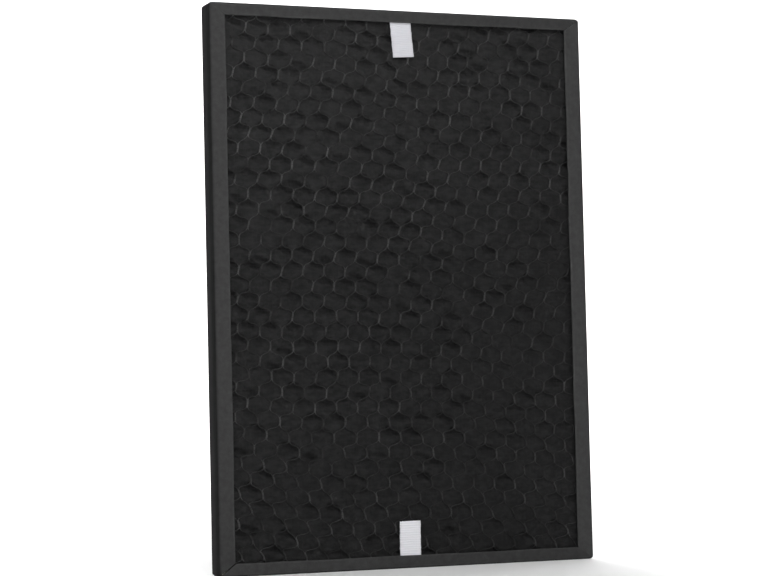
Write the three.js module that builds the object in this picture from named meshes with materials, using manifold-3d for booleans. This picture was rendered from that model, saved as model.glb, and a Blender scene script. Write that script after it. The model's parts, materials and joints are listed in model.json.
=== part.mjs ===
// Honeycomb activated-carbon filter panel for an air purifier.
// Millimetres. +X is the panel's width, +Z its height, and the front faces -Y.
// The origin is the middle of the bottom edge, halfway through the thickness.
import * as THREE from 'three';
import { mergeVertices } from 'three/addons/utils/BufferGeometryUtils.js';
import Module from 'manifold-3d';

const wasm = await Module();
wasm.setup();

// ---- Driving dimensions ----
const PANEL_WIDTH = 260;
const PANEL_HEIGHT = 360;
const PANEL_THICKNESS = 15;
const SIDE_LIP = 11.2;            // how far the side rails' lips reach over the filter's face
const END_LIP = 8.1;              // the same for the top and bottom rails
const BOARD = 1.2;                // thickness of the folded board of the rails
const OUTER_CORNER_RADIUS = 2.5;  // rounding of the panel's four corners, seen from the front
const FOLD_RADIUS = 1.2;          // rounding of the board's outer folds
const CLEARANCE = 0.3;            // gap left between pieces that touch on the real panel
const NET_THICKNESS = 0.4;
const TAB_THICKNESS = 0.6;
const TAB_WIDTH = 14.5;
const TAB_REACH = 21.8;           // length of a pull tab in front of its rail's lip
const TAB_ANCHOR = 5.4;           // length of a pull tab's glued end, under the lip
const TAB_TOP_OFFSET = 1.0;       // the top tab sits a little right of the middle
const TAB_BOTTOM_OFFSET = -0.5;   // and the bottom tab a little left of it
const HINGE_DROP = 0.5;           // from a lip's inner edge to the line its tab bends on
const TOP_TAB_SKEW = 4;           // degrees that the top tab was glued out of true
const CORE_SIDE_INSET = 5.5;      // from the panel's side to the honeycomb
const CORE_END_INSET = 4.0;       // from the panel's top or bottom to the honeycomb
const CELL_WIDTH = 14.9;          // between a cell's two upright walls
const ROW_PITCH = 9.5;            // between two rows of cells, at mid-height
const UPRIGHT_WALL = 6.6;         // length of a cell's upright wall
const FIRST_RIBBON = -18;         // ribbons are counted from the one in the middle
const LAST_RIBBON = 17;
const RIBBON_THICKNESS = 0.5;
const GRID_TILT = 2.8;            // degrees that the honeycomb is turned clockwise in its frame
const GRID_SHIFT_X = -1.95;       // where the honeycomb's middle lies, from the panel's middle
const GRID_SHIFT_Z = -2.1;
const WANDER_SIDEWAYS = 1.7;      // how far whole columns of cells stray, in slow waves
const WANDER_UPWARD = 1.2;        // how far whole rows stray
const JITTER = 0.45;              // how far single walls stray from their neighbours
const SLANT = 0.5;                // how far a wall's top end leans to the right of its middle
const BOTTOM_LEAN = 2;            // how much further to the left it leans along the bottom edge

// ---- Positions that follow from them ----
const HALF_WIDTH = PANEL_WIDTH / 2;
const HALF_THICKNESS = PANEL_THICKNESS / 2;
const CHANNEL_FRONT = -HALF_THICKNESS + BOARD;
const TAB_FRONT = CHANNEL_FRONT + CLEARANCE;
const TAB_BACK = TAB_FRONT + TAB_THICKNESS;
const FRONT_NET_FRONT = TAB_BACK + CLEARANCE;
const CORE_FRONT = FRONT_NET_FRONT + NET_THICKNESS + CLEARANCE;
const CHANNEL_BACK = HALF_THICKNESS - BOARD;
const BACK_NET_FRONT = CHANNEL_BACK - CLEARANCE - NET_THICKNESS;
const CORE_BACK = BACK_NET_FRONT - CLEARANCE;
const CORE_HALF_WIDTH = HALF_WIDTH - CORE_SIDE_INSET;
const CORE_BOTTOM = CORE_END_INSET;
const CORE_TOP = PANEL_HEIGHT - CORE_END_INSET;
const CORE_MIDDLE = PANEL_HEIGHT / 2;
const CORE_HALF_HEIGHT = CORE_MIDDLE - CORE_BOTTOM;
const TOP_LIP_EDGE = PANEL_HEIGHT - END_LIP;
const BOTTOM_LIP_EDGE = END_LIP;

// ---- Materials ----
const material = (color, roughness) => new THREE.MeshStandardMaterial({ color, roughness, metalness: 0 });
const railBoard = () => material(0x404040, 0.85);
const ribbonPaper = () => material(0x3c3d3e, 0.9);
const netCloth = () => material(0x26282b, 0.95);
const meltGlue = () => material(0xcfc6a8, 0.4);
const tabTape = () => material(0xd8d8dc, 0.9);

const panel = new THREE.Group();

function addPiece(name, geometry, pieceMaterial) {
  const mesh = new THREE.Mesh(geometry, pieceMaterial);
  mesh.name = name;
  panel.add(mesh);
  return mesh;
}

// ---- Solids from geometry, and back ----
function toSolid(geometry) {
  const bare = geometry.clone();
  bare.deleteAttribute('normal');
  bare.deleteAttribute('uv');
  const merged = mergeVertices(bare, 1e-4);
  const vertProperties = new Float32Array(merged.attributes.position.array);
  const triVerts = new Uint32Array(merged.index.array);
  return new wasm.Manifold(new wasm.Mesh({ numProp: 3, vertProperties, triVerts }));
}

function toGeometry(solid) {
  const mesh = solid.getMesh();
  const geometry = new THREE.BufferGeometry();
  geometry.setAttribute('position', new THREE.BufferAttribute(new Float32Array(mesh.vertProperties), 3));
  geometry.setIndex(new THREE.BufferAttribute(new Uint32Array(mesh.triVerts), 1));
  geometry.computeVertexNormals();
  return geometry;
}

// A flat outline in X and Z, pushed through the thickness from yFront to yBack.
function upright(shape, yFront, yBack) {
  const geometry = new THREE.ExtrudeGeometry(shape, {
    depth: yBack - yFront,
    bevelEnabled: false,
    curveSegments: 5,
  });
  geometry.rotateX(Math.PI / 2);
  geometry.translate(0, yBack, 0);
  return geometry;
}

function rectangle(left, bottom, right, top) {
  return new THREE.Shape([
    new THREE.Vector2(left, bottom),
    new THREE.Vector2(right, bottom),
    new THREE.Vector2(right, top),
    new THREE.Vector2(left, top),
  ]);
}

function roundedRectangle(left, bottom, right, top, radius) {
  const shape = new THREE.Shape();
  shape.moveTo(left + radius, bottom);
  shape.lineTo(right - radius, bottom);
  shape.absarc(right - radius, bottom + radius, radius, -Math.PI / 2, 0);
  shape.lineTo(right, top - radius);
  shape.absarc(right - radius, top - radius, radius, 0, Math.PI / 2);
  shape.lineTo(left + radius, top);
  shape.absarc(left + radius, top - radius, radius, Math.PI / 2, Math.PI);
  shape.lineTo(left, bottom + radius);
  shape.absarc(left + radius, bottom + radius, radius, Math.PI, Math.PI * 1.5);
  return shape;
}

function block(left, right, yFront, yBack, bottom, top) {
  return upright(rectangle(left, bottom, right, top), yFront, yBack);
}

// ---- Rails: four mitred channels of folded board ----
// The section lies in a plane across the rail. It opens towards +x, and its web is at x = 0.
function railSection(lip) {
  const fold = FOLD_RADIUS;
  const section = new THREE.Shape();
  section.moveTo(lip, -HALF_THICKNESS);
  section.lineTo(lip, CHANNEL_FRONT);
  section.lineTo(BOARD, CHANNEL_FRONT);
  section.lineTo(BOARD, CHANNEL_BACK);
  section.lineTo(lip, CHANNEL_BACK);
  section.lineTo(lip, HALF_THICKNESS);
  section.lineTo(fold, HALF_THICKNESS);
  section.absarc(fold, HALF_THICKNESS - fold, fold, Math.PI / 2, Math.PI);
  section.lineTo(0, -HALF_THICKNESS + fold);
  section.absarc(fold, -HALF_THICKNESS + fold, fold, Math.PI, Math.PI * 1.5);
  return section;
}

function straightRail(lip, length) {
  return new THREE.ExtrudeGeometry(railSection(lip), {
    depth: length,
    bevelEnabled: false,
    curveSegments: 3,
  });
}

// The part of the front view that one rail keeps: the outline's edge and two mitre lines.
function mitreShape(outerA, outerB, innerB, innerA) {
  return new THREE.Shape([outerA, outerB, innerB, innerA].map(([x, z]) => new THREE.Vector2(x, z)));
}

const OVERRUN = 1;                // how far the cutting shapes pass the panel's faces
const MITRE_GAP = CLEARANCE / 2;  // each rail stops this far short of the mitre line
const LIP_SLOPE = END_LIP / SIDE_LIP;
const panelOutline = toSolid(upright(
  roundedRectangle(-HALF_WIDTH, 0, HALF_WIDTH, PANEL_HEIGHT, OUTER_CORNER_RADIUS),
  -HALF_THICKNESS - OVERRUN,
  HALF_THICKNESS + OVERRUN,
));

function mitredRail(rail, keep) {
  const kept = toSolid(upright(keep, -HALF_THICKNESS - OVERRUN, HALF_THICKNESS + OVERRUN));
  return toGeometry(toSolid(rail).intersect(kept).intersect(panelOutline));
}

function sideRail() {
  const rail = straightRail(SIDE_LIP, PANEL_HEIGHT);
  rail.translate(-HALF_WIDTH, 0, 0);
  const reach = SIDE_LIP + OVERRUN;
  const inner = LIP_SLOPE * reach + MITRE_GAP;
  const keep = mitreShape(
    [-HALF_WIDTH, MITRE_GAP],
    [-HALF_WIDTH, PANEL_HEIGHT - MITRE_GAP],
    [-HALF_WIDTH + reach, PANEL_HEIGHT - inner],
    [-HALF_WIDTH + reach, inner],
  );
  return mitredRail(rail, keep);
}

function turnedAbout(geometry, matrix) {
  const copy = geometry.clone();
  copy.applyMatrix4(matrix);
  return copy;
}

const halfTurn = new THREE.Matrix4().makeRotationZ(Math.PI);
const leftRail = sideRail();
addPiece('left_rail', leftRail, railBoard());
addPiece('right_rail', turnedAbout(leftRail, halfTurn), railBoard());

// The bottom rail is a section of its own, turned so that its web is underneath.
function bottomRail() {
  const rail = straightRail(END_LIP, PANEL_WIDTH);
  const turn = new THREE.Matrix4().makeBasis(
    new THREE.Vector3(0, 0, 1),
    new THREE.Vector3(0, 1, 0),
    new THREE.Vector3(-1, 0, 0),
  );
  rail.applyMatrix4(turn);
  rail.translate(HALF_WIDTH, 0, 0);
  const reach = END_LIP + OVERRUN;
  const inner = reach / LIP_SLOPE + MITRE_GAP;
  const keep = mitreShape(
    [-HALF_WIDTH + MITRE_GAP, 0],
    [HALF_WIDTH - MITRE_GAP, 0],
    [HALF_WIDTH - inner, reach],
    [-HALF_WIDTH + inner, reach],
  );
  return mitredRail(rail, keep);
}

const topToBottom = new THREE.Matrix4()
  .makeTranslation(0, 0, PANEL_HEIGHT)
  .multiply(new THREE.Matrix4().makeRotationY(Math.PI));
const lowerRail = bottomRail();
addPiece('bottom_rail', lowerRail, railBoard());
addPiece('top_rail', turnedAbout(lowerRail, topToBottom), railBoard());

// ---- Beads of hot-melt glue that hold the honeycomb in the channels ----
const beadFront = FRONT_NET_FRONT;
const beadBack = BACK_NET_FRONT + NET_THICKNESS;
const sideBeadOuter = HALF_WIDTH - BOARD - CLEARANCE;
const sideBeadInner = CORE_HALF_WIDTH + CLEARANCE;
const sideBead = block(-sideBeadOuter, -sideBeadInner, beadFront, beadBack, CORE_BOTTOM, CORE_TOP);
addPiece('left_glue_bead', sideBead, meltGlue());
addPiece('right_glue_bead', turnedAbout(sideBead, halfTurn), meltGlue());

const endBeadOuter = BOARD + CLEARANCE;
const endBeadInner = CORE_END_INSET - CLEARANCE;
const endBead = block(-sideBeadOuter, sideBeadOuter, beadFront, beadBack, endBeadOuter, endBeadInner);
addPiece('bottom_glue_bead', endBead, meltGlue());
addPiece('top_glue_bead', turnedAbout(endBead, topToBottom), meltGlue());

// ---- Nets that keep the granules in the cells ----
function net(yFront) {
  return block(-CORE_HALF_WIDTH, CORE_HALF_WIDTH, yFront, yFront + NET_THICKNESS, CORE_BOTTOM, CORE_TOP);
}
addPiece('front_net', net(FRONT_NET_FRONT), netCloth());
addPiece('back_net', net(BACK_NET_FRONT), netCloth());

// ---- Honeycomb: upright ribbons, each zigzagging between two lines of glued walls ----
const RIBBON_STEP = CELL_WIDTH / 2;
const LINE_OFFSET = (RIBBON_THICKNESS + CLEARANCE) / 2;
const tilt = THREE.MathUtils.degToRad(GRID_TILT);
const rowsEachWay = Math.ceil((CORE_HALF_HEIGHT * 1.2) / ROW_PITCH);

// From the honeycomb's own grid to the panel: along a row, and up a column, both from the middle.
function place(along, up) {
  const u = along / CORE_HALF_WIDTH;
  const v = up / CORE_HALF_HEIGHT;
  const sideways = Math.sin(v * 5.2 + u * 1.9 + 1.2) + 0.5 * Math.sin(v * 11 - u * 4);
  const upward = Math.sin(u * 4.6 + v * 2.7 + 5.2) - 0.4 * Math.sin(u * 9 + v * 6);
  const x = along - WANDER_SIDEWAYS * sideways;
  const z = up - WANDER_UPWARD * upward;
  return new THREE.Vector2(
    x * Math.cos(tilt) + z * Math.sin(tilt),
    CORE_MIDDLE - x * Math.sin(tilt) + z * Math.cos(tilt),
  );
}

// One glued wall is shared by two ribbons: its lean and its jitter depend on its line and row only.
function wallEnds(line, row, offset) {
  const along = GRID_SHIFT_X + line * RIBBON_STEP + JITTER * Math.sin(line * 12.9 + row * 4.1);
  const up = GRID_SHIFT_Z + row * ROW_PITCH + JITTER * Math.sin(line * 7.3 - row * 9.7);
  const lowness = Math.max(0, -up / CORE_HALF_HEIGHT);
  const uneven = JITTER * Math.sin(line * 3.7 + row * 5.3);
  const lean = SLANT - BOTTOM_LEAN * lowness ** 1.5 + uneven;
  return [
    place(along + offset - lean, up - UPRIGHT_WALL / 2),
    place(along + offset + lean, up + UPRIGHT_WALL / 2),
  ];
}

function isInCore(point) {
  return Math.abs(point.x) < CORE_HALF_WIDTH - RIBBON_THICKNESS
    && Math.abs(point.y - CORE_MIDDLE) < CORE_HALF_HEIGHT - RIBBON_THICKNESS;
}

// The last point of the core on the way from a point inside it to one outside.
function edgePoint(inside, outside) {
  let near = inside;
  let far = outside;
  for (let halving = 0; halving < 20; halving += 1) {
    const middle = near.clone().lerp(far, 0.5);
    if (isInCore(middle)) {
      near = middle;
    } else {
      far = middle;
    }
  }
  return near;
}

// The longest stretch of a line that lies in the core, cut off at the core's edge.
function insideCore(line) {
  let longest = [];
  let run = [];
  line.forEach((point, i) => {
    const before = line[i - 1];
    const wasIn = i > 0 && isInCore(before);
    const isIn = isInCore(point);
    if (isIn && !wasIn && before) {
      run = [edgePoint(point, before)];
    }
    if (isIn) {
      run.push(point);
    } else if (wasIn) {
      run.push(edgePoint(before, point));
    }
    if (run.length > longest.length) {
      longest = run;
    }
  });
  return longest;
}

// The middle line of a ribbon, from the bottom up: an upright wall, then a slope, row after row.
function ribbonLine(index) {
  const line = [];
  for (let row = -rowsEachWay; row <= rowsEachWay; row += 1) {
    const onRight = (row + index) % 2 !== 0;
    line.push(...(onRight ? wallEnds(index + 1, row, -LINE_OFFSET) : wallEnds(index, row, LINE_OFFSET)));
  }
  return insideCore(line);
}

// A strip of even thickness along a line: each point moves out along the mean of its two normals.
function strip(line, thickness) {
  const leftSide = [];
  const rightSide = [];
  line.forEach((point, i) => {
    const before = line[Math.max(i - 1, 0)];
    const after = line[Math.min(i + 1, line.length - 1)];
    const incoming = (i > 0 ? point.clone().sub(before) : after.clone().sub(point)).normalize();
    const outgoing = (i < line.length - 1 ? after.clone().sub(point) : point.clone().sub(before)).normalize();
    const along = incoming.clone().add(outgoing).normalize();
    const stretch = thickness / 2 / Math.max(along.dot(incoming), 0.5);
    const offset = new THREE.Vector2(-along.y, along.x).multiplyScalar(stretch);
    leftSide.push(point.clone().add(offset));
    rightSide.push(point.clone().sub(offset));
  });
  return new THREE.Shape([...rightSide, ...leftSide.reverse()]);
}

for (let index = FIRST_RIBBON; index <= LAST_RIBBON; index += 1) {
  const number = String(index - FIRST_RIBBON + 1).padStart(2, '0');
  const ribbon = upright(strip(ribbonLine(index), RIBBON_THICKNESS), CORE_FRONT, CORE_BACK);
  addPiece(`honeycomb_ribbon_${number}`, ribbon, ribbonPaper());
}

// ---- Pull tabs: a glued end under the lip, and a free flap that bends at the lip's edge ----
// Heights are measured from the bending line, and the tab turns about the middle of that line.
function tabPiece(middle, bendHeight, skew, bottom, top) {
  const piece = block(-TAB_WIDTH / 2, TAB_WIDTH / 2, TAB_FRONT, TAB_BACK, bottom, top);
  piece.rotateY(THREE.MathUtils.degToRad(-skew));
  piece.translate(middle, 0, bendHeight);
  return piece;
}

const topBend = TOP_LIP_EDGE - HINGE_DROP;
const bottomBend = BOTTOM_LIP_EDGE + HINGE_DROP;
const flapLength = TAB_REACH - HINGE_DROP;

addPiece('top_tab', tabPiece(TAB_TOP_OFFSET, topBend, TOP_TAB_SKEW, -flapLength, 0), tabTape());
addPiece(
  'top_tab_anchor',
  tabPiece(TAB_TOP_OFFSET, topBend, TOP_TAB_SKEW, CLEARANCE, TAB_ANCHOR),
  tabTape(),
);
addPiece('bottom_tab', tabPiece(TAB_BOTTOM_OFFSET, bottomBend, 0, 0, flapLength), tabTape());
addPiece(
  'bottom_tab_anchor',
  tabPiece(TAB_BOTTOM_OFFSET, bottomBend, 0, -TAB_ANCHOR, -CLEARANCE),
  tabTape(),
);

export default panel;
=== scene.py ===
"""A honeycomb activated-carbon filter panel for an air purifier, upright on a pale floor.

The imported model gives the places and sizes. Lengths are metres: +X is the panel's width, +Z its
height, and its front faces -Y.
"""
import json
import math

import bpy
import numpy as np
from mathutils import Matrix, Vector


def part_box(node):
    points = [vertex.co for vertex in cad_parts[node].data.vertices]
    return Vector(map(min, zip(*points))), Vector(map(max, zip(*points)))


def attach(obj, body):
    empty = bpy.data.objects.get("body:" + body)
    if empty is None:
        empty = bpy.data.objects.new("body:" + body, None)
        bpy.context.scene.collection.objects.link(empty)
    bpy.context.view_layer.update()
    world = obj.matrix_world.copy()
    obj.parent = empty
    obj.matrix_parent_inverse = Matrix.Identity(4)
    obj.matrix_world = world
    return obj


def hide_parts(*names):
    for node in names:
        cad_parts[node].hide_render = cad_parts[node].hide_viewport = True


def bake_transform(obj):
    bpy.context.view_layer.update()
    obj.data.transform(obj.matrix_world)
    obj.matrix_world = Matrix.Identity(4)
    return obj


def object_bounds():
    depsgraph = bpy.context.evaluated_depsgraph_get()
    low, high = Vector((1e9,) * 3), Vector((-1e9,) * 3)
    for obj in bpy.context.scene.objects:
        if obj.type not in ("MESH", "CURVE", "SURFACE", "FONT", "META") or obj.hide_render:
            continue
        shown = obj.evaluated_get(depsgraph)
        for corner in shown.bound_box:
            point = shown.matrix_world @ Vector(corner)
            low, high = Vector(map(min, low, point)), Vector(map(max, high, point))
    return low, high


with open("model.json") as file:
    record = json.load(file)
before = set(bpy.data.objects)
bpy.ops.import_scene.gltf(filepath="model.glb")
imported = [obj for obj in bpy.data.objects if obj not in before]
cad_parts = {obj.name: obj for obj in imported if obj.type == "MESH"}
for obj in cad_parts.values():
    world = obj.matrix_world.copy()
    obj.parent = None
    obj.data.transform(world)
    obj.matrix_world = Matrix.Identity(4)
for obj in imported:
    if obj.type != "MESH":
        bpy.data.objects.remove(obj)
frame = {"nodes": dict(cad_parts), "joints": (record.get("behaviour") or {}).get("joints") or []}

MM = 0.001
cad_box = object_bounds()
panel_low, panel_high = (np.array(corner) for corner in cad_box)
PANEL_MIDDLE = (panel_low[2] + panel_high[2]) / 2
FRONT = panel_low[1]
BACK = panel_high[1]


# ---- The camera: left of the panel and a little below its middle ----
CAMERA_FROM_FRONT = Vector((-0.5593, -1.3377, -0.0791))   # from the middle of the front face
CAMERA_AHEAD = Vector((0.37609, 0.92499, 0.05438))
CAMERA_UP = Vector((0.00108, -0.05913, 0.99825))
CAMERA_LENS = 105.62                                       # mm, on a sensor 36 mm wide


def add_camera():
    data = bpy.data.cameras.new("camera")
    data.sensor_width = 36
    data.lens = CAMERA_LENS
    data.clip_start = 0.01
    camera = bpy.data.objects.new("camera", data)
    bpy.context.scene.collection.objects.link(camera)
    back = -CAMERA_AHEAD.normalized()
    right = CAMERA_UP.cross(back).normalized()
    up = back.cross(right)
    turn = Matrix((right, up, back)).transposed().to_4x4()
    place = Vector((0, FRONT, PANEL_MIDDLE)) + CAMERA_FROM_FRONT
    camera.matrix_world = Matrix.Translation(place) @ turn
    bpy.context.scene.camera = camera


# ---- Meshes ----
def new_object(name, vertices, faces, smooth=True):
    mesh = bpy.data.meshes.new(name)
    mesh.from_pydata(np.asarray(vertices).tolist(), [], faces)
    mesh.validate()
    mesh.update()
    mesh.polygons.foreach_set("use_smooth", [smooth] * len(mesh.polygons))
    piece = bpy.data.objects.new(name, mesh)
    bpy.context.scene.collection.objects.link(piece)
    return piece


def set_attribute(piece, name, values):
    attribute = piece.data.attributes.new(name, "FLOAT", "POINT")
    attribute.data.foreach_set("value", np.asarray(values, dtype=np.float32))


def loft_faces(rings, ring_size, first=0):
    """Quads between neighbouring rings of a closed tube, and a flat cap on each end."""
    ring = np.arange(rings - 1)[:, None] * ring_size + first
    here = np.arange(ring_size)[None, :]
    ahead = (here + 1) % ring_size
    quads = np.stack([ring + here, ring + ahead, ring + ring_size + ahead, ring + ring_size + here], -1)
    faces = quads.reshape(-1, 4).tolist()
    last = first + (rings - 1) * ring_size
    faces.append(list(range(first + ring_size - 1, first - 1, -1)))
    faces.append(list(range(last, last + ring_size)))
    return faces


def loft(name, tubes, smooth=True):
    """One piece from tubes, each an array of rings, points in a ring, and 3 coordinates."""
    vertices = []
    faces = []
    count = 0
    for tube in tubes:
        faces += loft_faces(tube.shape[0], tube.shape[1], count)
        vertices.append(tube.reshape(-1, 3))
        count += tube.shape[0] * tube.shape[1]
    return new_object(name, np.concatenate(vertices), faces, smooth)


def smoothstep(low, high, value):
    t = np.clip((value - low) / (high - low), 0, 1)
    return t * t * (3 - 2 * t)


def scatter(a, b, seed):
    """A fixed number from 0 to 1 for each pair of whole numbers."""
    value = np.sin(a * 127.1 + b * 311.7 + seed * 74.7) * 43758.5453
    return value - np.floor(value)


def waves(a, b, seed):
    """A smooth uneven surface between about -1 and 1, from a few sine waves."""
    total = np.sin(a * 1.0 + b * 0.7 + seed)
    total = total + 0.6 * np.sin(-a * 1.9 + b * 1.3 + seed * 2.1)
    total = total + 0.4 * np.sin(a * 3.1 + b * 2.7 + seed * 3.7)
    return total / 2


# ---- Materials ----
class Paint:
    """A node material in object coordinates, which are the panel's own metres."""

    def __init__(self, name, roughness, **sockets):
        self.material = bpy.data.materials.new(name)
        self.material.use_nodes = True
        self.tree = self.material.node_tree
        self.shader = self.tree.nodes["Principled BSDF"]
        self.shader.inputs["Roughness"].default_value = roughness
        for socket, value in sockets.items():
            self.shader.inputs[socket.replace("_", " ")].default_value = value
        self.coordinates = self.tree.nodes.new("ShaderNodeTexCoord").outputs["Object"]

    def node(self, kind, inputs=None, **settings):
        made = self.tree.nodes.new(kind)
        for key, value in settings.items():
            setattr(made, key, value)
        for key, value in (inputs or {}).items():
            if isinstance(value, bpy.types.NodeSocket):
                self.tree.links.new(value, made.inputs[key])
            else:
                made.inputs[key].default_value = value
        return made

    def scaled(self, x, y, z):
        scale = {"Vector": self.coordinates, "Scale": (x, y, z)}
        return self.node("ShaderNodeMapping", scale).outputs["Vector"]

    def noise(self, scale, detail=3.0, vector=None, roughness=0.6):
        inputs = {"Scale": scale, "Detail": detail, "Roughness": roughness}
        inputs["Vector"] = vector or self.coordinates
        return self.node("ShaderNodeTexNoise", inputs).outputs["Fac"]

    def spread(self, value, low, high, to_low=0.0, to_high=1.0):
        inputs = {"Value": value, "From Min": low, "From Max": high, "To Min": to_low, "To Max": to_high}
        return self.node("ShaderNodeMapRange", inputs).outputs["Result"]

    def attribute(self, name):
        return self.node("ShaderNodeAttribute", attribute_name=name).outputs["Fac"]

    def maths(self, operation, a, b=0.0):
        return self.node("ShaderNodeMath", {0: a, 1: b}, operation=operation).outputs[0]

    def mix(self, factor, first, second):
        made = self.node("ShaderNodeMix", data_type="RGBA")
        made.blend_type = "MIX"
        for index, value in ((0, factor), (6, first), (7, second)):
            if isinstance(value, bpy.types.NodeSocket):
                self.tree.links.new(value, made.inputs[index])
            elif index == 0:
                made.inputs[index].default_value = value
            else:
                made.inputs[index].default_value = (*value, 1)
        return made.outputs[2]

    def pale_clouds(self, base, pale):
        """A pale colour over a base: painted light as much as the attribute says, highest near the top left,
        and dusty pale clouds over it.
        """
        clouds = self.spread(self.noise(170, 3, self.scaled(1, 1, 2)), 0.35, 0.65, -0.3, 0.5)
        return self.mix(self.maths("ADD", self.attribute("painted_light"), clouds), base, pale)

    def colour(self, socket):
        self.tree.links.new(socket, self.shader.inputs["Base Color"])

    def rough(self, socket):
        self.tree.links.new(socket, self.shader.inputs["Roughness"])

    def bump(self, height, distance, strength=1.0, under=None):
        inputs = {"Height": height, "Distance": distance, "Strength": strength}
        if under is not None:
            inputs["Normal"] = under
        normal = self.node("ShaderNodeBump", inputs).outputs["Normal"]
        self.tree.links.new(normal, self.shader.inputs["Normal"])
        return normal


def grey(value, blue=0.0):
    return (value, value, value + blue)


def board_paint():
    """Dyed pulp board: mottled fibres, paler scuffs along folds and cut edges, and painted shade where the
    shade attribute says.
    """
    paint = Paint("frame_board", 0.82, Specular_IOR_Level=0.03)
    mottle = paint.noise(260, 5)
    fibres = paint.noise(1400, 2, paint.scaled(1, 1, 0.35))
    flecks = paint.spread(paint.noise(900, 1), 0.66, 0.74)
    base = paint.mix(paint.spread(mottle, 0.35, 0.68), grey(0.0435), grey(0.0595))
    base = paint.mix(paint.maths("MULTIPLY", flecks, 0.35), base, grey(0.07))
    patches = paint.spread(paint.noise(45, 3), 0.4, 0.7)
    wear = paint.maths("MULTIPLY", paint.attribute("wear"), paint.spread(mottle, 0.3, 0.6, 0.35, 1))
    wear = paint.maths("MULTIPLY", wear, paint.maths("ADD", 0.5, patches))
    base = paint.mix(paint.maths("MULTIPLY", wear, 0.55), base, grey(0.075))
    # painted shade: darkens the board nearly to black on the rails' outer sides and towards the right
    base = paint.mix(paint.attribute("shade"), base, grey(0.008))
    paint.colour(base)
    paint.rough(paint.spread(mottle, 0.3, 0.7, 0.74, 0.9))
    under = paint.bump(fibres, 0.00012, 0.7)
    paint.bump(mottle, 0.0003, 0.5, under)
    return paint.material


def ribbon_paint():
    """Dark paper, paler along its cut edges: rubbed where it meets the nets, plus a painted highlight,
    strongest on upright walls, on walls sloping up to the right and towards the top left.
    """
    paint = Paint("ribbon_paper", 0.85, Specular_IOR_Level=0.1)
    fibres = paint.noise(1600, 3, paint.scaled(1, 0.3, 1))
    base = paint.mix(paint.spread(fibres, 0.35, 0.7), grey(0.016), grey(0.024))
    paler_edge = paint.spread(paint.noise(75, 3), 0.36, 0.64, 0.15, 1)
    paler_edge = paint.maths("MULTIPLY", paint.attribute("edge"), paler_edge)
    paint.colour(paint.mix(paler_edge, base, grey(0.095)))
    paint.bump(fibres, 0.0001, 0.8)
    return paint.material


def carbon_paint():
    """Broken carbon: each granule has its own tone, with dusty pale clouds, painted light towards the top
    left, and specks over them.
    """
    paint = Paint("carbon_granules", 0.8, Specular_IOR_Level=0.08)
    tone = paint.attribute("granule")
    base = paint.pale_clouds(paint.mix(tone, grey(0.0114), grey(0.0171)), grey(0.028))
    specks = paint.spread(paint.noise(1500, 3), 0.52, 0.75)
    base = paint.mix(paint.maths("MULTIPLY", specks, 0.2), base, grey(0.036))
    paint.colour(base)
    paint.rough(paint.spread(tone, 0, 1, 0.62, 0.9))
    pores = paint.node("ShaderNodeTexVoronoi", {"Scale": 1300.0, "Vector": paint.coordinates})
    paint.bump(pores.outputs["Distance"], 0.0002, 0.8)
    return paint.material


def net_paint():
    """Dark polyester thread, dusty like the fill behind it, with the same painted light towards the top
    left.
    """
    paint = Paint("net_cloth", 0.7, Specular_IOR_Level=0.08)
    twist = paint.node("ShaderNodeTexWave", {"Scale": 900.0, "Distortion": 2.0, "Vector": paint.coordinates})
    strand = twist.outputs["Fac"]
    base = paint.mix(strand, grey(0.0128, 0.001), grey(0.0171, 0.001))
    paint.colour(paint.pale_clouds(base, grey(0.029, 0.001)))
    paint.bump(strand, 0.00004, 0.6)
    return paint.material


def glue_paint():
    """Cloudy hot-melt glue."""
    paint = Paint("melt_glue", 0.35, Subsurface_Weight=0.2)
    cloud = paint.noise(220, 4)
    paint.colour(paint.mix(cloud, (0.55, 0.5, 0.36), (0.72, 0.68, 0.55)))
    paint.bump(cloud, 0.0006, 0.6)
    return paint.material


def tape_paint():
    """White ribbed tape: ribs run across it, with fine warp threads between its woven edges."""
    paint = Paint("tab_tape", 0.9, Specular_IOR_Level=0.2, Sheen_Weight=0.1)
    ribs = paint.node(
        "ShaderNodeTexWave",
        {"Scale": 1.0, "Distortion": 0.6, "Detail": 1.0, "Vector": paint.scaled(1, 1, 210)},
        bands_direction="Z",
    ).outputs["Fac"]
    warp = paint.node(
        "ShaderNodeTexWave",
        {"Scale": 1.0, "Distortion": 0.8, "Detail": 1.0, "Vector": paint.scaled(420, 1, 1)},
        bands_direction="X",
    ).outputs["Fac"]
    weave = paint.maths("MULTIPLY", ribs, paint.spread(warp, 0, 1, 0.55, 1))
    base = paint.mix(weave, (0.79, 0.79, 0.83), (0.87, 0.865, 0.905))
    # painted shade: the top tab's tape is a darker copy of the same tape, the bottom tab's is not
    base = paint.mix(paint.attribute("tab_shade"), base, (0.42, 0.42, 0.455))
    soil = paint.spread(paint.noise(120, 4), 0.55, 0.8)
    base = paint.mix(paint.maths("MULTIPLY", soil, 0.15), base, (0.5, 0.49, 0.48))
    base = paint.mix(paint.maths("MULTIPLY", paint.attribute("wear"), 0.25), base, (0.52, 0.52, 0.55))
    paint.colour(base)
    fuzz = paint.bump(paint.noise(2600, 2), 0.00008, 0.5)
    paint.bump(weave, 0.00022, 0.8, fuzz)
    return paint.material


def stage_paint():
    paint = Paint("stage", 0.95, Specular_IOR_Level=0.0)
    paint.shader.inputs["Base Color"].default_value = (0.93, 0.93, 0.93, 1)
    return paint.material


PAINTS = {
    "frame_board": board_paint(),
    "ribbon_paper": ribbon_paint(),
    "carbon_granules": carbon_paint(),
    "net_cloth": net_paint(),
    "melt_glue": glue_paint(),
    "tab_tape": tape_paint(),
}


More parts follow.
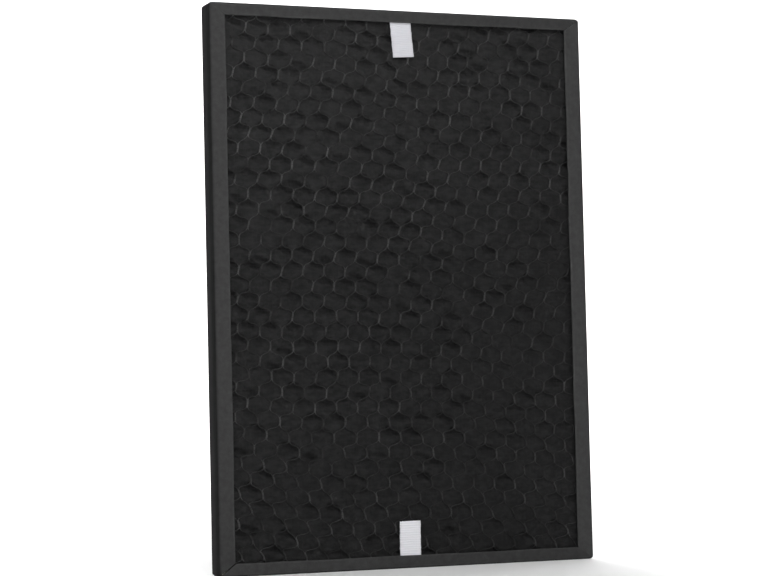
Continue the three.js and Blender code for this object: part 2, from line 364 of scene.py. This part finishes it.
def finish_piece(piece, slot, *nodes, body="panel"):
    piece.data.materials.clear()
    piece.data.materials.append(PAINTS[slot])
    if nodes:
        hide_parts(*nodes)
    if body:
        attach(piece, body)


# ---- Rails: folded board, mitred at the corners ----
def size_of(node, axis):
    low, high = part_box(node)
    return high[axis] - low[axis]


SIDE_LIP = size_of("left_rail", 0)
END_LIP = size_of("bottom_rail", 2)
HALF_WIDTH = panel_high[0]
PANEL_HEIGHT = panel_high[2]
BOARD = 1.2 * MM
FOLD_RADIUS = 1.4 * MM
INNER_FOLD_RADIUS = 0.3 * MM
CORNER_RADIUS = 3.2 * MM
CREASE_FROM_FACE = 2.3 * MM
CREASE_DEPTH = 0.175 * MM
CREASE_HALF_WIDTH = 0.45 * MM
CREASE_HALF_BOTTOM = 0.18 * MM
DENSE_END = 6 * MM            # the stretch at each end of a rail where its rings are close together
LIP_RIPPLE = 0.22 * MM        # how far a lip's free edge wavers
LIP_BOW = 0.16 * MM           # how far a lip's free edge stands away from the core
WORN_END = 1.2 * MM
TIGHT_SEAM = 0.06 * MM
LOOSE_SEAM = 0.14 * MM
OPEN_SEAM = 0.55 * MM
# Painted shade on each rail's outer side and the outer edge of its lip, where the light doesn't reach: for
# the side rails, then the end rails.
SIDE_PAINTED_SHADE = (0.82, 2.4 * MM)   # how heavy, and how far in from the rail's outer face
END_PAINTED_SHADE = (0.48, 1.5 * MM)


def arc(centre, radius, start, end, steps):
    angles = np.radians(np.linspace(start, end, steps))
    return [(centre[0] + radius * math.cos(a), centre[1] + radius * math.sin(a)) for a in angles]


def rail_section(lip):
    """The board's outline across a rail: inwards from the web's outer face, then Y. Wear follows it."""
    bend = FOLD_RADIUS
    inner_bend = INNER_FOLD_RADIUS
    nib = BOARD / 2
    points = []
    wear = []

    def add(new_points, amount):
        points.extend(new_points)
        wear.extend([amount] * len(new_points))

    def face(start, end, steps):
        spots = np.linspace(0, 1, steps + 2)[1:-1]
        along = [(start[0] + (end[0] - start[0]) * s, start[1] + (end[1] - start[1]) * s) for s in spots]
        add(along, 0.0)

    def crease(y):
        deep, top, bottom = CREASE_DEPTH, CREASE_HALF_WIDTH, CREASE_HALF_BOTTOM
        add([(0, y + top), (deep, y + bottom), (deep, y - bottom), (0, y - top)], 0.0)

    add(arc((lip - nib, BACK - nib), nib, 90, -90, 7)[::-1], 0.8)
    face((lip - nib, BACK), (bend, BACK), 8)
    add(arc((bend, BACK - bend), bend, 90, 180, 6), 0.7)
    crease(BACK - CREASE_FROM_FACE)
    face((0, BACK - CREASE_FROM_FACE), (0, FRONT + CREASE_FROM_FACE), 8)
    crease(FRONT + CREASE_FROM_FACE)
    add(arc((bend, FRONT + bend), bend, 180, 270, 6), 0.7)
    face((bend, FRONT), (lip - nib, FRONT), 8)
    add(arc((lip - nib, FRONT + nib), nib, -90, 90, 7), 0.8)
    face((lip - nib, FRONT + BOARD), (BOARD, FRONT + BOARD), 4)
    add(arc((BOARD + inner_bend, FRONT + BOARD + inner_bend), inner_bend, 270, 180, 3), 0.0)
    add(arc((BOARD + inner_bend, BACK - BOARD - inner_bend), inner_bend, 180, 90, 3), 0.0)
    face((BOARD, BACK - BOARD), (lip - nib, BACK - BOARD), 4)
    return np.array(points), np.array(wear)


def end_spacing(length, near, far):
    """Places along a rail from 0 to 1, close together near both ends."""
    head = np.linspace(0, DENSE_END, int(DENSE_END / near))
    middle = np.linspace(DENSE_END, length - DENSE_END, int(length / far))[1:-1]
    return np.concatenate([head, middle, length - head[::-1]]) / length


def round_corner(across, along, length):
    """Pulls points outside the rounded corner in to its arc."""
    from_end = np.minimum(along, length - along)
    a = CORNER_RADIUS - across
    b = CORNER_RADIUS - from_end
    reach = np.hypot(a, b)
    outside = (a > 0) & (b > 0) & (reach > CORNER_RADIUS)
    pull = np.where(outside, CORNER_RADIUS / np.maximum(reach, 1e-9), 1)
    new_across = np.where(outside, CORNER_RADIUS - a * pull, across)
    new_from_end = np.where(outside, CORNER_RADIUS - b * pull, from_end)
    new_along = np.where(along < length / 2, new_from_end, length - new_from_end)
    return new_across, new_along


def board_rail(lip, length, mitre_slope, gaps, seed):
    """Rings of board sections along a rail, as inwards, Y and along, and how worn each point is."""
    section, wear = rail_section(lip)
    across = section[:, 0][None, :]
    depth = section[:, 1][None, :]
    start = across * mitre_slope + gaps[0]
    end = length - across * mitre_slope - gaps[1]
    along = start + (end - start) * end_spacing(length, 0.5 * MM, 3 * MM)[:, None]
    across, depth, along = np.broadcast_arrays(across, depth, along)
    ripple = waves(along * 60, seed, seed) * smoothstep(0, 30 * MM, np.minimum(along, length - along))
    free = smoothstep(lip * 0.3, lip, across)
    across = across + LIP_RIPPLE * free * ripple
    side = np.sign(depth)
    bow = waves(along * 35 + side * 2, seed * 1.7, seed)
    depth = depth - side * LIP_BOW * free * (1 + bow)
    across, along = round_corner(across, along, length)
    rings = np.stack([across, depth, along], -1)
    ends = 0.6 * (1 - smoothstep(0, WORN_END, np.minimum(along - start, end - along)))
    return rings, np.maximum(wear[None, :], ends)


def web_painted_shade(inwards, y, heaviness, reach):
    """Painted shade on a rail's outer side, where the light doesn't reach: heaviest beside the front fold,
    out to a reach across the lip.
    """
    beside_fold = 1 - smoothstep(3 * MM, 9 * MM, y - FRONT)
    return heaviness * (0.75 + 0.25 * beside_fold) * (1 - smoothstep(0.3 * MM, reach, inwards))


def add_rail(node, sign, gaps, shade_falloff, seed):
    """sign is the side it is on, gaps open its two mitres, and the pair of shade values paints shade on it
    from left to right, where the light falls off.
    """
    is_side = node in ("left_rail", "right_rail")
    if is_side:
        lip, length, mitre_slope, painted_shade = SIDE_LIP, PANEL_HEIGHT, END_LIP / SIDE_LIP, SIDE_PAINTED_SHADE
    else:
        lip, length, mitre_slope, painted_shade = END_LIP, 2 * HALF_WIDTH, SIDE_LIP / END_LIP, END_PAINTED_SHADE
    rings, worn = board_rail(lip, length, mitre_slope, gaps, seed)
    inwards, y, along = rings[..., 0], rings[..., 1], rings[..., 2]
    if is_side:
        tube = np.stack([sign * (HALF_WIDTH - inwards), y, along], -1)
    else:
        height = inwards if sign < 0 else PANEL_HEIGHT - inwards
        tube = np.stack([along - HALF_WIDTH, y, height], -1)
    # painted shade: a fall-off of the light from left to right, or the outer side's shade, whichever is
    # heavier
    dark = shade_falloff[0] + (shade_falloff[1] - shade_falloff[0]) * (tube[..., 0] + HALF_WIDTH) / (2 * HALF_WIDTH)
    shade = np.maximum(web_painted_shade(inwards, y, *painted_shade), dark)
    inside_out = is_side == (sign < 0)
    if inside_out:
        tube, worn, shade = (values[:, ::-1] for values in (tube, worn, shade))
    rail = loft(node + "_board", [tube])
    set_attribute(rail, "wear", worn.reshape(-1))
    set_attribute(rail, "shade", shade.reshape(-1))
    finish_piece(rail, "frame_board", node)


def add_rails():
    """The mitre at the lower left has opened. Painted shade darkens the rails where the light falls off: the
    end rails towards the right, and the right rail more than the left.
    """
    add_rail("left_rail", -1, (OPEN_SEAM, TIGHT_SEAM), (0.1, 0.1), 1.3)
    add_rail("right_rail", 1, (TIGHT_SEAM, LOOSE_SEAM), (0.17, 0.17), 4.1)
    add_rail("bottom_rail", -1, (OPEN_SEAM, TIGHT_SEAM), (0, 0.3), 7.7)
    add_rail("top_rail", 1, (TIGHT_SEAM, LOOSE_SEAM), (0.1, 0.34), 2.6)


# ---- The honeycomb's grid, the same as the model's ----
CORE_HALF_WIDTH = size_of("front_net", 0) / 2
CORE_HALF_HEIGHT = size_of("front_net", 2) / 2
CELL_WIDTH = 14.9 * MM
RIBBON_STEP = CELL_WIDTH / 2
ROW_PITCH = 9.5 * MM
UPRIGHT_WALL = 6.6 * MM
GRID_TILT = math.radians(2.8)
GRID_SHIFT_X = -1.95 * MM
GRID_SHIFT_Z = -2.1 * MM
WANDER_SIDEWAYS = 1.7 * MM
WANDER_UPWARD = 1.2 * MM
JITTER = 0.45 * MM
SLANT = 0.5 * MM
BOTTOM_LEAN = 2 * MM
WALL_BOW = 0.3 * MM
BOTTOM_BOW = 0.9 * MM
EASED_END = 1.14              # a wall's path runs on by this much, because easing the corners shortens it
RIBBON_NODES = sorted(name for name in frame["nodes"] if name.startswith("honeycomb_ribbon_"))
FIRST_RIBBON = -(len(RIBBON_NODES) // 2)
PAPER = 0.5 * MM
GLUE_GAP = 0.06 * MM          # between the two ribbons of a glued wall
RIBBON_OVERHANG = 0.15 * MM   # past the model's ribbons, up to the nets
WALL_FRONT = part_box(RIBBON_NODES[0])[0][1] - RIBBON_OVERHANG
WALL_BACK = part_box(RIBBON_NODES[0])[1][1] + RIBBON_OVERHANG
EDGE_NOSE = 0.12 * MM
RIBBON_RAG = 0.1 * MM
EDGE_MARGIN = 0.5 * MM        # between a cut-off ribbon and the core's edge


def stray(along, up):
    """How far the grid strays sideways and upwards at a place in it."""
    u = along / CORE_HALF_WIDTH
    v = up / CORE_HALF_HEIGHT
    sideways = np.sin(v * 5.2 + u * 1.9 + 1.2) + 0.5 * np.sin(v * 11 - u * 4)
    upward = np.sin(u * 4.6 + v * 2.7 + 5.2) - 0.4 * np.sin(u * 9 + v * 6)
    return -WANDER_SIDEWAYS * sideways, -WANDER_UPWARD * upward


def place(along, up):
    """From the grid to X and Z."""
    sideways, upward = stray(along, up)
    x = along + sideways
    z = up + upward
    turned_x = x * math.cos(GRID_TILT) + z * math.sin(GRID_TILT)
    turned_z = PANEL_MIDDLE - x * math.sin(GRID_TILT) + z * math.cos(GRID_TILT)
    return turned_x, turned_z


def grid_place(x, z):
    """From X and Z back to the grid."""
    z = z - PANEL_MIDDLE
    straight_x = x * math.cos(GRID_TILT) - z * math.sin(GRID_TILT)
    straight_z = x * math.sin(GRID_TILT) + z * math.cos(GRID_TILT)
    along, up = straight_x, straight_z
    for _ in range(6):
        sideways, upward = stray(along, up)
        along = straight_x - sideways
        up = straight_z - upward
    return along, up


def wall_path(line, row, offset):
    """Three points up one glued wall, slightly bowed. Both of its ribbons take the same bow."""
    along = GRID_SHIFT_X + line * RIBBON_STEP + JITTER * math.sin(line * 12.9 + row * 4.1)
    up = GRID_SHIFT_Z + row * ROW_PITCH + JITTER * math.sin(line * 7.3 - row * 9.7)
    lowness = max(0.0, -up / CORE_HALF_HEIGHT)
    uneven = JITTER * math.sin(line * 3.7 + row * 5.3)
    lean = SLANT - BOTTOM_LEAN * lowness ** 1.5 + uneven
    bow = WALL_BOW * math.sin(line * 5.9 + row * 2.3) + BOTTOM_BOW * lowness
    share = np.array([-EASED_END, 0, EASED_END])
    sides = along + offset + lean * share + bow * (1 - share ** 2)
    return place(sides, up + share * UPRIGHT_WALL / 2)


def in_core(x, z):
    wide = np.abs(x) < CORE_HALF_WIDTH - EDGE_MARGIN
    tall = np.abs(z - PANEL_MIDDLE) < CORE_HALF_HEIGHT - EDGE_MARGIN
    return wide & tall


def longest_run(flags):
    """The start and end of the longest run of true flags."""
    edges = np.flatnonzero(np.diff(np.concatenate([[0], flags.astype(int), [0]])))
    starts, ends = edges[::2], edges[1::2]
    best = np.argmax(ends - starts)
    return starts[best], ends[best]


def ease_corners(points):
    """Cuts each corner of a path a quarter of the way along both of its sides."""
    near = points[:-1] * 0.75 + points[1:] * 0.25
    far = points[:-1] * 0.25 + points[1:] * 0.75
    return np.stack([near, far], 1).reshape(-1, 2)


def ribbon_path(index):
    """A ribbon's middle line from the bottom up, with eased corners, cut off at the core's edge."""
    rows = math.ceil(CORE_HALF_HEIGHT * 1.2 / ROW_PITCH)
    half_sheet = (PAPER + GLUE_GAP) / 2
    xs, zs = [], []
    for row in range(-rows, rows + 1):
        on_right = (row + index) % 2 != 0
        line = index + 1 if on_right else index
        x, z = wall_path(line, row, -half_sheet if on_right else half_sheet)
        xs.extend(x)
        zs.extend(z)
    points = ease_corners(ease_corners(np.stack([xs, zs], -1)))
    start, end = longest_run(in_core(points[:, 0], points[:, 1]))
    return points[start:end]


def ribbon_tube(path, seed):
    """A standing strip of paper along a path, with slightly uneven front and back edges."""
    ahead = np.gradient(path, axis=0)
    ahead /= np.linalg.norm(ahead, axis=1)[:, None]
    side = np.stack([-ahead[:, 1], ahead[:, 0]], -1)
    x, z = path[:, 0], path[:, 1]
    front = WALL_FRONT + RIBBON_RAG * waves(z * 500, x * 300, seed)
    back = WALL_BACK + RIBBON_RAG * waves(z * 470, x * 320, seed + 5)
    thin = PAPER * 0.28
    full = PAPER / 2
    profile = [
        (thin, front),
        (full, front + EDGE_NOSE),
        (full, front + 2 * MM),
        (full, back - 2 * MM),
        (full, back - EDGE_NOSE),
        (thin, back),
    ]
    profile += [(-half, y) for half, y in reversed(profile)]
    outline = []
    for half, y in profile:
        flat = path + side * half
        outline.append(np.stack([flat[:, 0], y, flat[:, 1]], -1))
    return np.stack(outline, 1)


def edge_wear_and_highlight(path):
    """How pale a ribbon's edges are, from rubbing and a painted highlight: most along glued walls, least
    where it slopes to the left.
    """
    ahead = np.gradient(path, axis=0)
    steepness = np.abs(ahead[:, 1]) / np.linalg.norm(ahead, axis=1)
    alone = np.where(ahead[:, 0] > 0, 0.46, 0.34)
    return alone + (1 - alone) * smoothstep(0.6, 0.95, steepness)


def add_ribbons():
    face_to_face = (1, 0.8, 0.35, 0.35, 0.8, 1)
    paleness_by_point = np.array(face_to_face * 2)
    for count, node in enumerate(RIBBON_NODES):
        path = ribbon_path(FIRST_RIBBON + count)
        ribbon = loft(node + "_paper", [ribbon_tube(path, count * 1.3)], smooth=False)
        # painted highlight on the edges, stronger towards the top left, on top of their rubbing
        edge_paleness = edge_wear_and_highlight(path) * (0.55 + 0.95 * painted_light_at(path[:, 0], path[:, 1]))
        set_attribute(ribbon, "edge", np.outer(edge_paleness, paleness_by_point).reshape(-1))
        finish_piece(ribbon, "ribbon_paper", node)


def painted_light_at(x, z):
    """Painted light on the core, from 0 to 1: most of it near the top left, less to the right and below."""
    right = x / CORE_HALF_WIDTH
    up = (z - PANEL_MIDDLE) / CORE_HALF_HEIGHT
    return np.clip(0.18 - 0.26 * right + 0.5 * np.maximum(up, 0) + 0.05 * np.minimum(up, 0), 0, 1)


# ---- Carbon granules: a bed behind each face, bumpy, with hollows where a cell isn't full ----
GRANULE = 2.3 * MM
GRANULE_HEIGHT = 0.75 * MM
BED_RECESS = 0.5 * MM         # behind the walls' edges
LEAST_RECESS = 0.05 * MM
LEVEL_RANGE = 0.5 * MM        # how much one cell's level can differ from another's
HOLLOW_DEPTH = 2.8 * MM
HOLLOW_HALF_SIZE = (6, 2.6)   # mm, across and up
HOLLOW_OFF_MIDDLE = 3.4       # mm, from a cell's middle towards its sunk end
BED_MARGIN = 0.6 * MM
BED_SPACING = 0.95 * MM
BED_BACK = 0.2 * MM           # from the panel's middle


def nearest_cell(x, z):
    """Each point's cell, by line and row, and its place in it from the middle, in mm."""
    along, up = grid_place(x, z)
    along = along - GRID_SHIFT_X
    up = up - GRID_SHIFT_Z
    a = along / RIBBON_STEP
    b = up / ROW_PITCH
    best = np.full(x.shape, 1e9)
    found = [np.zeros(x.shape) for _ in range(4)]
    for offset in (0, 1):
        row = np.floor(b) + offset
        odd = np.mod(row + 1, 2)
        line = 2 * np.round((a - odd) / 2) + odd
        across = along - line * RIBBON_STEP
        height = up - row * ROW_PITCH
        distance = across ** 2 + (height * 0.92) ** 2
        closer = distance < best
        best = np.where(closer, distance, best)
        for i, value in enumerate((line, row, across / MM, height / MM)):
            found[i] = np.where(closer, value, found[i])
    return found


def cell_hollows(x, z, seed):
    """How far the fill lies back: each cell has its own level, and many have sunk away from one end."""
    line, row, across, height = nearest_cell(x, z)
    level = LEVEL_RANGE * scatter(line, row, seed)
    end = np.where(scatter(line, row, seed + 1) < 0.15, -1, 1)
    aside = 1.0 + 4.0 * (scatter(line, row, seed + 2) - 0.5)
    ragged = waves(x * 450, z * 700, seed)
    from_left = (x / CORE_HALF_WIDTH + 0.4) / 0.8
    from_middle = (z - PANEL_MIDDLE) / CORE_HALF_HEIGHT / 0.4
    settled = np.exp(-from_left ** 2 - from_middle ** 2)
    likely = scatter(line, row, seed + 3) + 0.6 * (painted_light_at(x, z) - 0.35) + 0.45 * settled
    deep = HOLLOW_DEPTH * smoothstep(0.3, 0.85, likely)
    half_width, half_height = HOLLOW_HALF_SIZE
    above = height - end * HOLLOW_OFF_MIDDLE + 0.25 * (across - aside) + 0.5 * ragged
    reach = ((across - aside) / half_width) ** 2 + (above / half_height) ** 2
    heap = 0.2 * MM * (across ** 2 + height ** 2) / 40
    return level + heap + deep * (1 - smoothstep(0, 1.5, reach))


def granule_bumps(x, z, seed):
    """Height of the granules, 0 to 1, and the tone of the granule at each place. One sits in each square."""
    column = np.floor(x / GRANULE)
    row = np.floor(z / GRANULE)
    best = np.full(x.shape, 1e9)
    tone = np.zeros(x.shape)
    for i in (-1, 0, 1):
        for k in (-1, 0, 1):
            a, b = column + i, row + k
            centre_x = (a + 0.15 + 0.7 * scatter(a, b, seed)) * GRANULE
            centre_z = (b + 0.15 + 0.7 * scatter(a, b, seed + 3)) * GRANULE
            stretch = 0.8 + 0.5 * scatter(a, b, seed + 5)
            distance = np.hypot((x - centre_x) * stretch, (z - centre_z) / stretch) / GRANULE
            distance = distance + 0.25 * (scatter(a, b, seed + 7) - 0.5)
            closer = distance < best
            best = np.where(closer, distance, best)
            tone = np.where(closer, scatter(a, b, seed + 9), tone)
    return np.clip(1 - (best / 0.62) ** 2, 0, 1), tone


def granule_bed(name, face_y, into, seed):
    """A closed slab whose outer face is the bed. into is +1 where the panel's inside is towards +Y."""
    wide = CORE_HALF_WIDTH - BED_MARGIN
    tall = CORE_HALF_HEIGHT - BED_MARGIN
    xs = np.arange(-wide, wide, BED_SPACING)
    zs = np.arange(PANEL_MIDDLE - tall, PANEL_MIDDLE + tall, BED_SPACING)
    x, z = np.meshgrid(xs, zs, indexing="ij")
    bumps, tone = granule_bumps(x, z, seed)
    bumps = GRANULE_HEIGHT * bumps * (0.6 + 0.4 * tone)
    recess = np.maximum(BED_RECESS + cell_hollows(x, z, seed) - bumps, LEAST_RECESS)
    top = np.stack([x, face_y + into * recess, z], -1).reshape(-1, 3)
    index = np.arange(x.size).reshape(x.shape)
    quads = np.stack([index[:-1, :-1], index[1:, :-1], index[1:, 1:], index[:-1, 1:]], -1).reshape(-1, 4)
    rim = np.concatenate([index[:, 0], index[-1, 1:], index[-2::-1, -1], index[0, -2:0:-1]])
    floor = top[rim] * np.array([1, 0, 1]) + np.array([0, -into * BED_BACK, 0])
    below = np.arange(len(rim)) + len(top)
    walls = np.stack([rim, below, np.roll(below, -1), np.roll(rim, -1)], -1)
    faces = quads.tolist() + walls.tolist() + [below[::-1].tolist()]
    if into < 0:
        faces = [face[::-1] for face in faces]
    bed = new_object(name, np.concatenate([top, floor]), faces)
    on_floor = np.zeros(len(rim))
    set_attribute(bed, "granule", np.concatenate([tone.reshape(-1), on_floor]))
    # painted light on the bed, paler towards the top left
    set_attribute(bed, "painted_light", np.concatenate([painted_light_at(top[:, 0], top[:, 2]), on_floor]))
    finish_piece(bed, "carbon_granules")


# ---- Nets: threads drawn over the walls, sagging a little into the cells ----
NET_PITCH = 2.35 * MM
THREAD_RADIUS = 0.1 * MM
NET_MARGIN = 0.4 * MM
NET_SAG = 0.28 * MM
NET_LIFT = 0.1 * MM           # out from the model's net, so that the threads clear the walls
THREAD_SLACK = 0.25 * MM
OVER_AND_UNDER = 0.07 * MM


def net_depth(x, z):
    """How far the net sinks between the walls."""
    _, _, across, height = nearest_cell(x, z)
    slope = (ROW_PITCH - UPRIGHT_WALL) / RIBBON_STEP
    half_height = ROW_PITCH - UPRIGHT_WALL / 2
    to_end = (np.abs(height) + slope * np.abs(across)) * MM / half_height
    from_middle = np.maximum(np.abs(across) * MM / RIBBON_STEP, to_end)
    return NET_SAG * (1 - smoothstep(0.35, 1.0, from_middle))


def thread_tubes(paths, first_side, second_side):
    """Three-sided tubes along many paths at once."""
    ring = []
    for angle in (90, 210, 330):
        turn = math.radians(angle)
        offset = first_side * math.cos(turn) + second_side * math.sin(turn)
        ring.append(paths + offset * THREAD_RADIUS)
    return np.stack(ring, 2)


def add_net(node, outwards):
    """outwards is -1 on the front and +1 on the back. Threads pass over and under each other in turn."""
    low, high = (np.array(corner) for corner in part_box(node))
    width, height = high[0] - low[0], high[2] - low[2]
    columns = int(width / NET_PITCH)
    rows = int(height / NET_PITCH)
    xs = np.linspace(low[0] + NET_MARGIN, high[0] - NET_MARGIN, columns)
    zs = np.linspace(low[2] + NET_MARGIN, high[2] - NET_MARGIN, rows)
    x, z = np.meshgrid(xs, zs, indexing="ij")
    slack_x = x + THREAD_SLACK * waves(x * 25, z * 25, 3.0 + outwards)
    slack_z = z + THREAD_SLACK * waves(z * 22, x * 22, 8.0 + outwards)
    y = (low[1] + high[1]) / 2 + outwards * (NET_LIFT - net_depth(slack_x, slack_z))
    odd_crossing = np.mod(np.add.outer(np.arange(columns), np.arange(rows)), 2)
    over = OVER_AND_UNDER * (1 - 2 * odd_crossing)
    upright = np.stack([slack_x, y + over, slack_z], -1)
    level = np.stack([slack_x, y - over, slack_z], -1).swapaxes(0, 1)
    out = np.array([0, 1.0, 0])
    tubes = list(thread_tubes(upright, np.array([1.0, 0, 0]), out))
    tubes += list(thread_tubes(level, np.array([0, 0, -1.0]), out))
    net = loft(node + "_threads", tubes)
    points = np.concatenate([tube.reshape(-1, 3) for tube in tubes])
    # painted light on the threads, paler towards the top left
    set_attribute(net, "painted_light", painted_light_at(points[:, 0], points[:, 2]))
    finish_piece(net, "net_cloth", node)


# ---- Pull tabs: one strip of tape each, glued under the lip and bent at its edge ----
TAPE_WIDTH = size_of("bottom_tab", 0)
TAPE_THICKNESS = size_of("bottom_tab", 1)
TAPE_RINGS = 72
TAPE_POINTS_ACROSS = 15
TAPE_CURL = 0.55 * MM         # how far the free end stands out
TAPE_BOW = 0.22 * MM          # how much further its middle does
TAPE_WAVE = 0.12 * MM
SELVEDGE_WAVE = 0.12 * MM
END_FRAY = 0.18 * MM
TOP_TAB_SKEW = math.radians(4)


def tape_tube(bend, tape_y, glued_end, free_end, skew, seed):
    """Rings of one strip of tape from its glued end to its free end. Heights are from the bend."""
    heights = np.linspace(glued_end, free_end, TAPE_RINGS)[:, None]
    share = np.linspace(-1, 1, TAPE_POINTS_ACROSS)[None, :]
    free = smoothstep(0, 1, heights / free_end)
    x = share * (TAPE_WIDTH / 2 + SELVEDGE_WAVE * waves(heights * 900, seed, seed))
    z = heights + 0 * share
    z[-1] += np.sign(free_end) * END_FRAY * np.sin(share[0] * 19 + seed)
    wave = TAPE_WAVE * free * np.sin(heights * 420 + share * 1.2 + seed)
    y = tape_y - TAPE_CURL * free ** 3 - TAPE_BOW * free * (1 - share ** 2) - wave
    half = TAPE_THICKNESS / 2 * np.sqrt(np.clip(1 - np.abs(share) ** 14, 0.06, 1))
    turned_x = bend.x + x * math.cos(skew) - z * math.sin(skew)
    turned_z = bend.z + x * math.sin(skew) + z * math.cos(skew)
    front = np.stack([turned_x, y - half, turned_z], -1)
    back = np.stack([turned_x, y + half, turned_z], -1)
    return np.concatenate([front, back[:, ::-1]], axis=1), np.concatenate([share[0], share[0, ::-1]])


def add_tab(name, body, direction, skew, tab_shade, seed):
    """direction is -1 where the tape hangs down from its rail, and +1 where it stands up."""
    joint = next(j for j in frame["joints"] if j["child"] == body)
    bend = Vector(joint["pos_m"])
    anchor_low, anchor_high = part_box(name + "_anchor")
    low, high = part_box(name)
    tape_y = (low[1] + high[1]) / 2
    free_end = (high[2] if direction > 0 else low[2]) - bend.z
    glued_end = (anchor_low[2] if direction > 0 else anchor_high[2]) - bend.z
    tube, share = tape_tube(bend, tape_y, glued_end, free_end, skew, seed)
    if direction > 0:
        tube = tube[:, ::-1]
    tape = loft(name + "_tape", [tube])
    selvedge = np.tile(smoothstep(0.86, 0.97, np.abs(share)), TAPE_RINGS)
    set_attribute(tape, "wear", selvedge)
    set_attribute(tape, "tab_shade", [tab_shade] * len(selvedge))
    finish_piece(tape, "tab_tape", name, name + "_anchor", body=None)
    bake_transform(tape)


# ---- Glue beads keep their modelled shape, inside the channels ----
def paint_beads():
    for node, piece in frame["nodes"].items():
        if node.endswith("_glue_bead"):
            piece.data.materials.clear()
            piece.data.materials.append(PAINTS["melt_glue"])


# ---- Floor, backdrop and light ----
def add_stage():
    """A round floor that curves up into a wall, so that its rim shows from no side. It is open above."""
    sides = 96
    profile = ((0.02, 0), (1.5, 0), (2.6, 0), (3.2, 0.12), (3.7, 0.5), (4.0, 1.2), (4.05, 3.2))
    angles = np.linspace(0, 2 * math.pi, sides, endpoint=False)
    rings = [
        np.stack([reach * np.cos(angles), reach * np.sin(angles), height + 0 * angles], -1)
        for reach, height in profile
    ]
    faces = loft_faces(len(profile), sides)[:-1]
    stage = new_object("stage_floor", np.concatenate(rings), faces)
    stage.data.materials.append(stage_paint())


def add_light(name, place, target, size, power):
    data = bpy.data.lights.new(name, "AREA")
    data.shape = "DISK"
    data.size = size
    data.energy = power
    light = bpy.data.objects.new(name, data)
    light.visible_camera = False
    light.location = place
    aim = Vector(target) - Vector(place)
    light.rotation_euler = aim.to_track_quat("-Z", "Y").to_euler()
    bpy.context.scene.collection.objects.link(light)


def add_lighting():
    world = bpy.data.worlds.new("studio")
    bpy.context.scene.world = world
    world.use_nodes = True
    background = world.node_tree.nodes["Background"]
    background.inputs["Color"].default_value = (1, 1, 1, 1)
    background.inputs["Strength"].default_value = 0.15
    middle = (0, 0, PANEL_MIDDLE)
    add_light("key", (-0.35, -1.2, 1.35), middle, 0.6, 14)
    add_light("fill", (0.9, -2.2, 0.5), middle, 1.4, 4)
    add_light("floor_top", (0.6, 1.3, 2.0), (0.5, 0.3, 0), 1, 38)
    add_light("backdrop_left", (0.2, 1.9, 2.4), (1.2, 4.0, 0.6), 1.2, 65)
    add_light("backdrop_right", (2.4, 1.6, 2.4), (2.2, 3.6, 0.6), 1.2, 65)


add_camera()
bpy.context.scene.view_settings.view_transform = "Standard"
add_rails()
add_ribbons()
granule_bed("front_granules", WALL_FRONT, 1, 11)
granule_bed("back_granules", WALL_BACK, -1, 23)
add_net("front_net", -1)
add_net("back_net", 1)
# the top tab's tape gets painted shade
add_tab("top_tab", "top_flap", -1, TOP_TAB_SKEW, 0.55, 1.0)
add_tab("bottom_tab", "bottom_flap", 1, 0.0, 0.0, 2.5)
paint_beads()
add_stage()
add_lighting()
